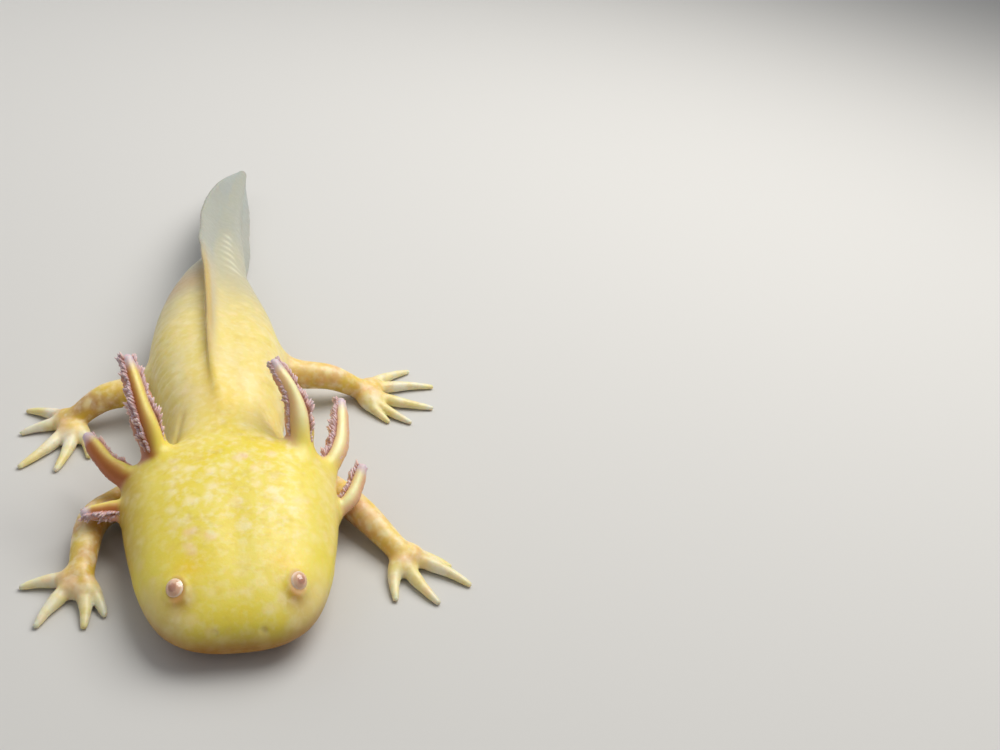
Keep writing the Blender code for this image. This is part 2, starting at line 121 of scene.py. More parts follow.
# Limbs: joints from the body outwards, half thickness at each, and digit tips on the floor
LIMBS = (
    (((-9, 55, 8.5), (-22, 47.5, 4.4), (-28.8, 39.8, 4.6), (-30.4, 25.2, 2.7)),
     (4.2, 3.5, 3.3, 2.5),
     ((-25.4, 16.2), (-29, 13.3), (-37.8, 14.4), (-41.5, 25.3))),
    (((9, 55, 8.5), (22, 48, 4.8), (28.8, 38.4, 4.6), (35.6, 27.6, 2.7)),
     (4.2, 3.5, 3.3, 2.5),
     ((33, 15), (41.8, 13.3), (49.6, 18.1), (46.3, 24.1))),
    (((-9, 93, 8.5), (-19, 86, 7.6), (-28.4, 82.8, 7.2), (-35.4, 80.6, 2.8)),
     (4.4, 3.8, 3.3, 2.5),
     ((-31.6, 68.1), (-38.4, 63.5), (-46.2, 65.1), (-47.2, 77.9), (-46.6, 87))),
    (((9, 97, 8.5), (17.5, 92, 7.6), (26.7, 90.6, 7.2), (34.8, 91.4, 2.8)),
     (4.4, 3.8, 3.3, 2.5),
     ((40.9, 79.4), (46.6, 78.7), (53.4, 84.9), (55.2, 94.9), (49.8, 102.5))),
)

# Gills: root, bend and tip of each stalk, its half thickness at the root, and how far the
# filaments stand out from it on its two sides
GILLS = {
    "gill_front_right": (
        ((-15, 46, 15.5), (-18.3, 51.9, 25), (-21.6, 62.3, 31.5)), 2.9, (1.7, 1.9)),
    "gill_middle_right": (
        ((-18.5, 43, 11.5), (-25.2, 47.3, 14), (-30.1, 55, 16)), 2.9, (0.3, 1.6)),
    "gill_rear_right": (
        ((-18.5, 38.5, 8), (-25.2, 37.5, 9.8), (-29.8, 36.5, 10)), 2.7, (1.4, 0.8)),
    "gill_front_left": (
        ((15.2, 46, 15.5), (14.2, 53.5, 25), (9.8, 60, 31.5)), 2.9, (1, 2.3)),
    "gill_middle_left": (
        ((19, 42.5, 11.5), (24.2, 51.5, 14.5), (25.8, 63.6, 18)), 2.3, (2.2, 0.5)),
    "gill_rear_left": (
        ((19.8, 35.5, 7.5), (24.9, 37, 10), (28.6, 43.8, 13.5)), 1.9, (1.8, 0.5)),
}
GILL_TIP_HALF = 1
GILL_WEB = 0.45           # the web's width as a share of that reach
GILL_WEB_HALF = 0.55
GILL_KNOBS = 0.06
FILAMENT_PITCH = 0.36
TUFT_PITCH = 1.25
FILAMENT_SEED = 11
FILAMENT_SIDES = 5
FILAMENT_LAYERS = 4
FILAMENT_SPREAD = 0.22
# Along a filament: share of its length and half thickness
FILAMENT_PROFILE = ((0, 0.32), (0.4, 0.33), (0.75, 0.3), (0.95, 0.2))

# Eyes
EYE_RADIUS = 2.2
EYE_Y = 9.2
EYE_X = 11.6
EYE_LENGTH = 1.16         # front to back, as a share of the height
CORNEA_RISE = 0.05
EYE_AIM = (0.12, -0.12)   # added to the skin's outward way there: aside, and along Y
EYE_RIM_HALVES = (1.8, 2.7, 4)

# Fine forms of the head. A mound is a height, the middle's x and y, and half sizes. The
# first one's y, and those of the eyes' caps and lids, count from the eyes
EYE_MOUND = (0.4, EYE_X, 0.6, 4.2, 4)
EYE_CAP = (0.35, 2.3, 3.6)
CROWN_HOLLOW = (-0.35, 0, 20, 3, 11)
CHEEK_MOUND = (0.45, 12, 29, 5.5, 8)
LID_RISE = 0.22
LID_WIDTH = 0.5
LID_GAP = 0.12
LID_AHEAD = 0.6
LID_STRETCH = (1, 0.62, 1)
NOSTRIL = (4.6, 0.9, 9)
NOSTRIL_RADIUS = 0.55
NOSTRIL_DEPTH = 0.9
# Mouth line from the side, in y and z, and its lips: rise, height above the line and width
MOUTH_LINE = np.array(((0, 4.9), (9, 5.2), (17.5, 6.6)))
LIPS = ((-0.5, 0, 0.34), (0.18, 1.2, 1), (-0.1, -1.3, 1.1))

# Fine forms of neck and trunk. A throat fold is a rise, its place behind THROAT_Y and a width
THROAT_Y = 45.5
THROAT_FOLDS = ((-0.7, 0, 0.7), (0.4, -2, 1.8))
NECK_CREASE = (0.45, 0.7)   # depth and width
COSTAL_DEPTH = 0.28
COSTAL_PITCH = 4.2

# Digits: share of the way from wrist to tip, height and half thickness
DIGIT_JOINTS = ((0, 2.7, 1.8), (0.22, 1.9, 1.75), (0.5, 1.4, 1.4), (0.76, 1.15, 1.2),
                (1, 0.6, 0.6))
DIGIT_BOW = 0.05
KNUCKLES = 0.1
DIGIT_STEPS = 10
LIMB_STEPS = 15
GILL_STEPS = 12

# Fillets: the least one, and how much wider it is where a part meets the body
LEAST_FILLET = 0.3
LIMB_FILLET = 3.2
GILL_FILLET = 3
FIN_FILLET = 2
HAND_FILLET = 1.5
DIGIT_FILLET = 0.35
DIGIT_WEB = 3
FLOOR_FILLET = 0.7

# How the skin is cut out of its field of distances
FAR = 1e3
PART_MARGIN = 8           # how far from its box a limb or gill shapes the skin
RELIEF_REACH = 2.5        # how far from the plain skin its fine forms are worked out
GRID_PITCH = 0.68
GRID_LOW = np.array((-58, -2, -1.36))
GRID_HIGH = np.array((61, 224, 35))
GRID_SLICES = 16
FILL_ROUNDS = 4
FILL_DEPTH = 0.05
SWELL_ROUNDS = 5
SLOPE_STEP = 0.05
LONGEST_MOVE = 0.5
RELAX_ROUNDS = 2
COARSE_RELAX = 0.5
FINE_RELAX = 0.4
FACE_END_Y = 24
FACE_HALF = 24
HAND_TOP = 4.5
HAND_MARGIN = 0.5

HEAD_TONE = srgb(239, 220, 88)
BODY_TONE = srgb(238, 220, 146)
REAR_TONE = srgb(208, 196, 148)
PATCH_TONE = srgb(240, 206, 62)
GOLD_TONE = srgb(240, 202, 30)
# cream of the cheeks, also used as painted light on the head's left side
CHEEK_AND_LIT_SIDE_TONE = srgb(232, 210, 142)
# painted shade on the snout's low front, which faces away from the light
SNOUT_SHADE_TONE = srgb(160, 108, 6)
# painted shadow of the leaning dorsal fin on the right flank
FIN_SHADOW_TONE = srgb(196, 124, 52)
TAIL_TONE = srgb(186, 183, 158)
SHADE_TONE = srgb(170, 108, 42)
# painted shade on the underside
UNDERSIDE_SHADE_TONE = srgb(176, 118, 56)
# painted shade in the groove beside the dorsal fin's base
FIN_GROOVE_SHADE_TONE = srgb(226, 192, 70)
EDGE_TONE = srgb(200, 164, 58)
BLADE_TONE = srgb(204, 190, 152)
LIMB_TONE = srgb(234, 186, 106)
# painted light on the tops of the limbs
LIT_TOP_TONE = srgb(244, 226, 162)
JOINT_TONE = srgb(234, 188, 150)
DIGIT_TONE = srgb(234, 230, 208)
RIDGE_TONE = srgb(246, 226, 120)
# painted light and shade on the gills: pale lit copies of ridge and flank for the left gills, and a
# flank colour darkened by painted shade for the right gills
LIT_RIDGE_TONE = srgb(255, 246, 186)
SHADED_GILL_TONE = srgb(176, 98, 34)
LIT_GILL_TONE = srgb(230, 188, 128)
WEB_TONE = srgb(214, 158, 140)
TIP_TONE = srgb(214, 194, 200)
FIN_TONE = srgb(170, 172, 160)
FIN_TIP_TONE = srgb(166, 172, 168)
MARK_TONE = srgb(232, 230, 206)
# painted shadow below and ahead of each eye's bulge
EYE_SHADOW_TONE = srgb(166, 110, 34)
RIM_TONE = srgb(210, 152, 88)
FILAMENT_TONE = srgb(216, 142, 120)
FILAMENT_TIP_TONE = srgb(236, 200, 200)
GOLD_SPECK = srgb(235, 209, 34)
FLECK_TONE = srgb(250, 232, 170)
PINK_SPECK = srgb(240, 190, 150)
PALE_SPECK = srgb(255, 246, 222)
DEEP_SPECK = srgb(196, 152, 48)

# Colours along the body: colour, and the y where it starts and where it is full
BODY_TONES = ((BODY_TONE, 42, 66), (REAR_TONE, 86, 118))
FIN_TONES = ((FIN_TONE, 110, 146), (FIN_TIP_TONE, 175, 215))
TAIL_TONES = ((TAIL_TONE, 104, 138), (FIN_TONE, 136, 172))
# Patches round each eye: place inwards and behind, size and colour. The first is a gold patch, the
# second painted shadow below and ahead of the eye
EYE_PATCHES = ((2.4, 3, 3, GOLD_TONE), (0.6, -3.4, 2.2, EYE_SHADOW_TONE))
TRUNK_END = (150, 120)
MARK_PITCH = 5.4

# Mottling of the skin, as scales for each metre and shares
WARP_SCALE = 300
WARP_REACH = 0.0022
FLECK_CELLS = {"Scale": 290, "Smoothness": 0.25}
FLECK_SHARE = 0.85
FLECK_PATCH_SCALE = 110
GOLD_SCALE = 150
GOLD_SHARE = 0.62
PINK_SCALE = 90
PINK_SHARE = 0.6
# Fine specks: colour, scale, where the noise starts to show and is full, and share
SPECKS = ((PALE_SPECK, 640, 0.42, 0.74, 0.3), (DEEP_SPECK, 430, 0.5, 0.26, 0.22))
GLOSS_SCALE = 700
GLOSS_ROUGHNESS = (0.34, 0.5)
PORE_SCALE = 1500
PORE_SHARE = 0.6
DIMPLE_SCALE = 420
BUMP_LOOK = {"Strength": 0.07, "Distance": 0.0006}
SKIN_LOOK = {"Subsurface Weight": 0.3, "Subsurface Radius": (1, 0.45, 0.2),
             "Subsurface Scale": 0.003, "Coat Weight": 0.12, "Coat Roughness": 0.25}
EYE_LOOK = {"Roughness": 0.18, "Coat Weight": 1, "Coat Roughness": 0.08,
            "Subsurface Weight": 0.15, "Subsurface Scale": 0.001}

# From the eye's hidden edge, 0, to its middle, 1: share of its depth and colour
EYE_RINGS = (
    (0, srgb(184, 132, 84)), (0.46, srgb(212, 160, 116)), (0.6, srgb(248, 220, 192)),
    (0.69, srgb(246, 214, 184)), (0.78, srgb(228, 184, 150)), (0.92, srgb(220, 174, 142)),
    (0.965, srgb(200, 148, 122)), (1, srgb(190, 136, 112)),
)
EYE_MOTTLE = 0.00025
EYE_NOISE_SCALE = 1800

# Camera: place in mm, angles (turn, down, roll) in degrees and lens in mm
CAMERA_PLACE = (-7.945, -152.724, 168.796)
CAMERA_ANGLES = (18.395, 32.221, 9.359)
CAMERA_LENS = 39.96

# Studio, in metres: each light's name, place, target, size, power and colour
FLOOR_HALF = 3.0
FLOOR_LOOK = {"Base Color": (0.62, 0.61, 0.59, 1), "Roughness": 0.9}
SKY_LOOK = {"Color": (0.93, 0.96, 1, 1), "Strength": 0.25}
LIGHTS = (
    ("key", (0.26, 0.13, 0.52), (0, -0.05, 0), 0.5, 3.85, (1, 0.98, 0.94)),
    ("back", (-0.3, 0.4, 0.35), (0, 0.05, 0), 0.5, 0.6, (1, 1, 1)),
    ("fill", (-0.35, -0.45, 0.45), (0, -0.05, 0), 0.6, 0.22, (1, 1, 1)),
)


def smooth_curve(places, values, at):
    """A smooth curve through a table's rows, with no overshoot between them."""
    steps = np.diff(places)
    slopes = np.diff(values) / steps
    product = slopes[:-1] * slopes[1:]
    total = np.where(product > 0, slopes[:-1] + slopes[1:], 1)
    inner = np.where(product > 0, 2 * product / total, 0)
    tangents = np.concatenate(([slopes[0]], inner, [slopes[-1]]))
    at = np.clip(at, places[0], places[-1])
    i = np.clip(np.searchsorted(places, at, side="left") - 1, 0, len(places) - 2)
    t = (at - places[i]) / steps[i]
    ends = (2 * t ** 3 - 3 * t ** 2 + 1) * values[i] + (3 * t ** 2 - 2 * t ** 3) * values[i + 1]
    bend = (t ** 3 - 2 * t ** 2 + t) * tangents[i] + (t ** 3 - t ** 2) * tangents[i + 1]
    return ends + steps[i] * bend


def fade(value, start, end):
    """0 before start, 1 after end and smooth between; start may be the larger."""
    t = np.clip((value - start) / (end - start), 0, 1)
    return t * t * (3 - 2 * t)


def bump(distance, width):
    """1 at no distance, falling smoothly over about the width."""
    return np.exp(-(distance / width) ** 2)


def mound(x, y, height, middle_x, middle_y, half_x, half_y):
    """The height of a smooth oval mound at each place."""
    return height * np.exp(-((x - middle_x) / half_x) ** 2 - ((y - middle_y) / half_y) ** 2)


def join(a, b, reach):
    """The union of two distances, with a fillet of about the reach."""
    near = np.clip(1 - np.abs(a - b) / reach, 0, 1)
    return np.minimum(a, b) - near * near * reach / 4


STATION_Y = np.arange(HEAD_WIDEST_Y, TAIL_END_Y + 0.2, 0.25)
STATION_VALUES = [smooth_curve(BODY_STATIONS[:, 0], BODY_STATIONS[:, column], STATION_Y)
                  for column in range(1, 7)]
STATION_SLOPES = [np.gradient(values, STATION_Y) for values in STATION_VALUES]


def sections(y):
    """Middle x, middle z, half width, rise, drop and roll of the body at each y."""
    x, z, width, rise, drop, roll = (np.interp(y, STATION_Y, v) for v in STATION_VALUES)
    ahead = y < HEAD_WIDEST_Y
    part = np.clip(y / HEAD_WIDEST_Y, 1e-6, 1)
    swell = np.clip(1 - (1 - part) ** SNOUT_TAPER, 1e-7, 1)
    z = np.where(ahead, SNOUT_LEVEL + (CHEEK_LEVEL - SNOUT_LEVEL) * np.sqrt(part), z)
    width = np.where(ahead, HEAD_HALF_WIDTH * swell ** (1 / SNOUT_BLUNT_WIDTH), width)
    rise = np.where(ahead, HEAD_RISE * swell ** (1 / SNOUT_BLUNT_RISE), rise)
    drop = np.where(ahead, HEAD_DROP * swell ** (1 / SNOUT_BLUNT_DROP), drop)
    return x, z, width, rise, drop, np.radians(roll)


def leaning(p):
    """Each point's across and up in the body's own leaning section, and its half sizes."""
    x, z, width, rise, drop, roll = sections(p[:, 1])
    cosine, sine = np.cos(roll), np.sin(roll)
    dx, dz = p[:, 0] - x, p[:, 2] - z
    across = dx * cosine + dz * sine
    up = dz * cosine - dx * sine
    return across, up, width, rise, drop


def swell_needed(wide, tall, half_up, blunt_up):
    """How far along the head's growth a section has to be to reach each point."""
    powers = SECTION_POWER / SNOUT_BLUNT_WIDTH, SECTION_POWER / blunt_up
    wide = (wide / HEAD_HALF_WIDTH) ** SNOUT_BLUNT_WIDTH
    tall = (tall / half_up) ** blunt_up
    need = np.maximum(wide, tall) + 1e-9
    for _ in range(SWELL_ROUNDS):
        a, b = (wide / need) ** powers[0], (tall / need) ** powers[1]
        need *= np.exp(np.log(a + b) * (a + b) / (powers[0] * a + powers[1] * b))
    return need


def body_distance(p):
    """Distance to the head, trunk and tail's own surface, without fins or relief."""
    across, up, width, rise, drop = leaning(p)
    half = np.where(up > 0, rise, drop)
    wide, tall = np.abs(across), np.abs(up)
    size = (wide / width) ** SECTION_POWER + (tall / half) ** SECTION_POWER
    size = np.maximum(size, 1e-9) ** (1 / SECTION_POWER)
    radial = np.hypot(across, up) * (1 - 1 / size)
    share = (wide / width / size) ** 2
    slope = share * np.interp(p[:, 1], STATION_Y, STATION_SLOPES[2])
    slope += (1 - share) * np.interp(p[:, 1], STATION_Y, STATION_SLOPES[3])
    distance = radial / np.sqrt(1 + slope ** 2)
    head = p[:, 1] < HEAD_WIDEST_Y
    wide, tall, above, radial = wide[head], tall[head], up[head] > 0, radial[head]
    upper = swell_needed(wide, tall, HEAD_RISE, SNOUT_BLUNT_RISE)
    lower = swell_needed(wide, tall, HEAD_DROP, SNOUT_BLUNT_DROP)
    need = np.where(above, upper, lower)
    reach = HEAD_WIDEST_Y * (1 - np.clip(1 - need, 0, 1) ** (1 / SNOUT_TAPER))
    along = np.where(need < 1, np.abs(reach - p[head, 1]), FAR)
    radial_size = np.abs(radial)
    distance[head] = np.sign(radial) * along * radial_size / np.hypot(along, radial_size + 1e-9)
    beyond = np.maximum(p[:, 1] - TAIL_END_Y, 0)
    return np.where(beyond > 0, np.hypot(np.maximum(distance, 0), beyond), distance)


def fin_distance(p, table, sign):
    """Distance to the blade on the body's top edge (sign +1) or bottom edge (sign -1)."""
    across, up, _, rise, drop = leaning(p)
    up = sign * up
    base = rise if sign > 0 else drop
    y = p[:, 1]
    height = smooth_curve(table[:, 0], table[:, 1], y)
    height = height - FIN_FALL * np.maximum(table[0, 0] - y, 0)
    part = np.clip((up - base) / np.maximum(height, 0.5), 0, 1)
    half = FIN_BASE_HALF + (FIN_EDGE_HALF - FIN_BASE_HALF) * part ** FIN_TAPER
    half *= 1 - FIN_END_THINNING * fade(y, 190, TAIL_END_Y) * (1 - part)
    across = across + FIN_WAVE * part * fade(y, 162, 182) * np.sin(y / FIN_WAVE_PITCH)
    lean = smooth_curve(FIN_LEAN[:, 0], FIN_LEAN[:, 1], y) * (sign > 0)
    across = (across + lean * np.maximum(up - base, 0)) / np.hypot(1, lean)
    over = np.maximum(up - (base + height - half), 0) + np.maximum(-up, 0)
    over = np.hypot(over, np.maximum(y - table[-1, 0], 0))
    return np.hypot(across, over) - half


def smooth_path(points, count):
    """Points on a smooth curve through a few points."""
    points = np.asarray(points, float)
    ends = np.vstack((2 * points[0] - points[1], points, 2 * points[-1] - points[-2]))
    place = np.linspace(0, len(points) - 1, count + 1)
    span = np.minimum(place.astype(int), len(points) - 2)
    t = (place - span)[:, None]
    a, b, c, d = (ends[span + i] for i in range(4))
    return 0.5 * (2 * b + (c - a) * t + (2 * a - 5 * b + 4 * c - d) * t ** 2
                  + (3 * b - a - 3 * c + d) * t ** 3)


def nearest_on(p, path):
    """Where each point is nearest on a path, 0 to 1, and the way from there to it."""
    place, offset = np.zeros(len(p)), np.full((len(p), 3), FAR)
    best = np.full(len(p), np.inf)
    count = len(path) - 1
    for i in range(count):
        axis = path[i + 1] - path[i]
        t = np.clip((p - path[i]) @ axis / (axis @ axis), 0, 1)
        way = p - path[i] - t[:, None] * axis
        size = (way ** 2).sum(1)
        nearer = size < best
        best[nearer], offset[nearer] = size[nearer], way[nearer]
        place[nearer] = (i + t[nearer]) / count
    return place, offset


def rod_distance(p, path, radii):
    """Distance to a round rod along a path, and how far along it each point is, 0 to 1."""
    place, offset = nearest_on(p, path)
    radius = np.interp(place, np.linspace(0, 1, len(radii)), radii)
    return np.sqrt((offset ** 2).sum(1)) - radius, place


def limb_rods(joints, radii, tips):
    """The rods of a limb: the limb itself, then one from the wrist to each digit's tip."""
    path = smooth_path(joints, LIMB_STEPS)
    along = np.linspace(0, len(radii) - 1, LIMB_STEPS + 1)
    rods = [(path, np.interp(along, range(len(radii)), radii))]
    wrist = path[-1]
    middle = np.mean(tips, axis=0) - wrist[:2]
    for tip in tips:
        reach = np.array(tip) - wrist[:2]
        aside = np.array((-reach[1], reach[0]))
        aside *= DIGIT_BOW * np.sign(middle[0] * reach[1] - middle[1] * reach[0])
        spots = [wrist]
        for share, height, _ in DIGIT_JOINTS[1:]:
            flat = wrist[:2] + share * reach + 4 * share * (1 - share) * aside
            spots.append((*flat, height))
        place = np.linspace(0, len(spots) - 1, DIGIT_STEPS + 1)
        sizes = np.interp(place, range(len(spots)), [joint[2] for joint in DIGIT_JOINTS])
        sizes *= 1 + KNUCKLES * np.cos(np.pi * (place - 2))
        rods.append((smooth_path(spots, DIGIT_STEPS), sizes))
    return rods


def unit(vectors):
    """Rows scaled to a length of 1."""
    return vectors / np.sqrt((vectors ** 2).sum(-1, keepdims=True))


def gill_frame(points, root_half, reaches):
    """One gill's stalk: its path, the level and upright ways across it, and its sizes."""
    path = smooth_path(points, GILL_STEPS)
    ways = unit(np.gradient(path, axis=0))
    level = unit(np.cross(ways, (0, 0, 1)))
    return path, ways, level, np.cross(level, ways), root_half, reaches


def at_place(rows, place):
    """Rows of vectors read at places from 0 to 1."""
    spots = np.linspace(0, 1, len(rows))
    return np.stack([np.interp(place, spots, rows[:, i]) for i in range(3)], axis=1)


def tufts(place, side, gill):
    """How the filaments bunch along a gill's edges, -1 to 1."""
    along = place * len(gill[0]) * gill[-2]
    return np.sin(along / TUFT_PITCH + 2 * np.sign(side)) * np.cos(0.37 * along + side)


def gill_sizes(place, side, gill):
    """Half thickness of the stalk, and how far its thin web stands out on a point's side."""
    root_half, (near, far) = gill[-2:]
    stalk = root_half + (GILL_TIP_HALF - root_half) * place ** 0.8
    stalk = stalk * (1 + GILL_KNOBS * np.sin(15 * place + 3 * root_half))
    reach = np.where(side > 0, far, near) * fade(place, 0.05, 0.4)
    reach = reach * (1 + 0.45 * tufts(place, side, gill)) * (1 - 0.35 * place)
    return stalk, GILL_WEB * reach


def gill_distance(p, gill):
    """Distance to a gill's stalk with its web, and each point's place and side there."""
    path, _, level, upright = gill[:4]
    place, offset = nearest_on(p, path)
    side = (offset * at_place(level, place)).sum(1)
    above = (offset * at_place(upright, place)).sum(1)
    stalk, web = gill_sizes(place, side, gill)
    round_part = np.sqrt((offset ** 2).sum(1)) - stalk
    rest = (offset ** 2).sum(1) - side ** 2 - above ** 2
    rounding = np.sqrt(1 - 0.85 * fade(place, 0.84, 1))
    out = np.maximum(np.abs(side) - (stalk + web) * rounding, 0)
    sheet = np.sqrt(out ** 2 + (above + 0.25 * stalk) ** 2 + np.maximum(rest, 0)) - GILL_WEB_HALF
    return join(round_part, sheet, 1), place, side / stalk, above / stalk


EYE_MIDDLES = [(np.array(sum(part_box(name), Vector())) / 2 - ORIGIN) / MM
               for name in ("eye_right", "eye_left")]
LIMB_RODS = [limb_rods(*limb) for limb in LIMBS]
GILL_FRAMES = {name: gill_frame(*values) for name, values in GILLS.items()}


def near_path(p, path, margin):
    """Which points are in a path's box, or within the margin of it."""
    return np.all((p > path.min(0) - margin) & (p < path.max(0) + margin), axis=1)


def near_rods(p, rods):
    """Which points may be shaped or coloured by a limb."""
    return near_path(p, np.vstack([path for path, _ in rods]), PART_MARGIN)


def relief(p):
    """How far the fine forms of head and body stand out from the plain surface."""
    across, up, width, _, _ = leaning(p)
    x, y, z = np.abs(across), p[:, 1], p[:, 2]
    top, under = fade(up, -1, 2), fade(up, 1, -2)
    out = mound(x, y - EYE_Y, *EYE_MOUND) * top
    height, wide, long = EYE_CAP
    out += height * bump(np.hypot((x - EYE_X) / wide, (y - EYE_Y + 1) / long), 1) * top
    for middle in EYE_MIDDLES:
        from_eye = ((p - middle + (0, LID_AHEAD, 0)) ** 2 * LID_STRETCH).sum(1)
        out += LID_RISE * bump(np.sqrt(from_eye) - EYE_RADIUS - LID_GAP, LID_WIDTH)
    out += mound(x, y, *CROWN_HOLLOW) * top
    out += mound(x, y, *CHEEK_MOUND) * top
    from_nostril = (x - NOSTRIL[0]) ** 2 + (y - NOSTRIL[1]) ** 2 + (z - NOSTRIL[2]) ** 2
    out -= NOSTRIL_DEPTH * np.exp(-from_nostril / NOSTRIL_RADIUS ** 2)
    line = np.interp(y, MOUTH_LINE[:, 0], MOUTH_LINE[:, 1])
    jaw = fade(y, 19, 16.5) * fade(x + 3 * (y < 4), 1, 3)
    jaw *= 0.3 + 0.7 * fade(x, 5, 12)
    for height, above, wide in LIPS:
        out += height * jaw * bump(z - line - above, wide)
    fold = THROAT_Y - 4 * (x / 20) ** 2
    for height, behind, wide in THROAT_FOLDS:
        out += height * bump(y - fold - behind, wide) * under * fade(x, 21, 17)
    crease = x - 11.5 + 0.28 * (y - 52)
    depth, wide = NECK_CREASE
    out -= depth * bump(crease, wide) * top * fade(y, 47, 51) * fade(y, 64, 58)
    trunk = fade(y, 60, 66) * fade(y, *TRUNK_END) * fade(x / width, 0.45, 0.8)
    rib = np.abs(np.sin(np.pi * (y - 0.35 * np.abs(up - 2)) / COSTAL_PITCH))
    out -= COSTAL_DEPTH * trunk * (1 - rib) ** 3
    return out


def field(p, fine=True):
    """Distance to the whole skin: below 0 inside, with fillets where parts join."""
    distance = body_distance(p)
    if fine:
        near = np.abs(distance) < RELIEF_REACH
        distance[near] -= relief(p[near])
    for table, sign in ((DORSAL_FIN, 1), (VENTRAL_FIN, -1)):
        rear = p[:, 1] > table[0, 0] - PART_MARGIN
        blade = fin_distance(p[rear], table, sign)
        distance[rear] = join(distance[rear], blade, FIN_FILLET)
    for rods in LIMB_RODS:
        near = near_rods(p, rods)
        q = p[near]
        limb, place = rod_distance(q, *rods[0])
        hand = np.full(len(q), FAR)
        for path, radii in rods[1:]:
            digit, along = rod_distance(q, path, radii)
            webbing = fade(along, 0.55, 0.3) * fade(along, 0.04, 0.24)
            hand = join(hand, digit, DIGIT_FILLET + DIGIT_WEB * webbing)
        limb = join(limb, hand, HAND_FILLET)
        fillet = LEAST_FILLET + LIMB_FILLET * fade(place, 0.6, 0.25)
        distance[near] = join(distance[near], limb, fillet)
    for gill in GILL_FRAMES.values():
        near = near_path(p, gill[0], PART_MARGIN)
        stalk, place, _, _ = gill_distance(p[near], gill)
        fillet = LEAST_FILLET + GILL_FILLET * fade(place, 0.5, 0.15)
        distance[near] = join(distance[near], stalk, fillet)
    return -join(-distance, p[:, 2], FLOOR_FILLET)


def surface_nets(values):
    """Vertices and four-sided faces of the surface where the grid's distances are zero."""
    cells = np.array(values.shape) - 1
    flat_cells = int(cells.prod())
    totals, counts = np.zeros((3, flat_cells)), np.zeros(flat_cells)
    crossings = []
    for axis in range(3):
        one, two = (axis + 1) % 3, (axis + 2) % 3
        turned = np.moveaxis(values, axis, 0)
        near, far = turned[:-1], turned[1:]
        found = np.argwhere((near < 0) != (far < 0))
        index = np.insert(found[:, 1:], axis, found[:, 0], axis=1)
        a, b = near[tuple(found.T)], far[tuple(found.T)]
        others = index[:, [one, two]]
        inside = np.all((others > 0) & (others < cells[[one, two]]), axis=1)
        index, a, b = index[inside], a[inside], b[inside]
        spot = index.astype(float)
        spot[:, axis] += a / (a - b)
        ring = []
        for back in ((0, 0), (1, 0), (1, 1), (0, 1)):
            cell = index.copy()
            cell[:, [one, two]] -= back
            flat = np.ravel_multi_index(cell.T, cells)
            ring.append(flat)
            counts += np.bincount(flat, minlength=flat_cells)
            for i in range(3):
                totals[i] += np.bincount(flat, weights=spot[:, i], minlength=flat_cells)
        ring = np.stack(ring, axis=1)
        inward = a >= 0
        ring[inward] = ring[inward][:, ::-1]
        crossings.append(ring)
    used = counts > 0
    number = np.cumsum(used) - 1
    places = (totals[:, used] / counts[used]).T
    return GRID_LOW + GRID_PITCH * places, number[np.vstack(crossings)]


def fill_ties(values):
    """Fill the corners where two parts of the surface would only touch along an edge."""
    for _ in range(FILL_ROUNDS):
        for axis in range(3):
            v = np.moveaxis(values, axis, 0)
            inside = v < 0
            a, b = inside[:, :-1, :-1], inside[:, 1:, :-1]
            c, d = inside[:, 1:, 1:], inside[:, :-1, 1:]
            for i, j, k in np.argwhere((a == c) & (b == d) & (a != b)):
                corners = [(i, j, k), (i, j + 1, k), (i, j + 1, k + 1), (i, j, k + 1)]
                outside = [q for q in corners if v[q] >= 0]
                nearest = min(outside, key=lambda q: v[q], default=None)
                if nearest is not None:
                    v[nearest] = -FILL_DEPTH


def grid_field():
    """The field on a grid round the whole animal."""
    counts = np.ceil((GRID_HIGH - GRID_LOW) / GRID_PITCH).astype(int) + 1
    axes = [GRID_LOW[i] + GRID_PITCH * np.arange(counts[i]) for i in range(3)]
    values = np.empty(counts)
    for start in range(0, counts[0], GRID_SLICES):
        slices = slice(start, start + GRID_SLICES)
        block = np.meshgrid(axes[0][slices], *axes[1:], indexing="ij")
        spots = np.stack([b.ravel() for b in block], axis=1)
        values[slices] = field(spots, fine=False).reshape(block[0].shape)
    fill_ties(values)
    return values


def settle(points):
    """Move points onto the skin, along the field's slope."""
    here = field(points)
    steps = SLOPE_STEP * np.eye(3)
    slope = np.stack([field(points + step) - here for step in steps], axis=1) / SLOPE_STEP
    size = np.maximum((slope ** 2).sum(1), 0.05)
    move = -(here / size)[:, None] * slope
    length = np.sqrt((move ** 2).sum(1))[:, None]
    return points + move * np.minimum(1, LONGEST_MOVE / np.maximum(length, 1e-9))


def relax(points, edges, share):
    """Move each point part of the way to the middle of its neighbours."""
    total = np.zeros_like(points)
    count = np.bincount(edges.ravel(), minlength=len(points))
    for a, b in (edges.T, edges.T[::-1]):
        for i in range(3):
            total[:, i] += np.bincount(a, weights=points[b, i], minlength=len(points))
    return points + share * (total / count[:, None] - points)


def mesh_points(mesh):
    """A mesh's vertices and edges as arrays."""
    points = np.empty(3 * len(mesh.vertices))
    mesh.vertices.foreach_get("co", points)
    edges = np.empty(2 * len(mesh.edges), np.int32)
    mesh.edges.foreach_get("vertices", edges)
    return points.reshape(-1, 3), edges.reshape(-1, 2)


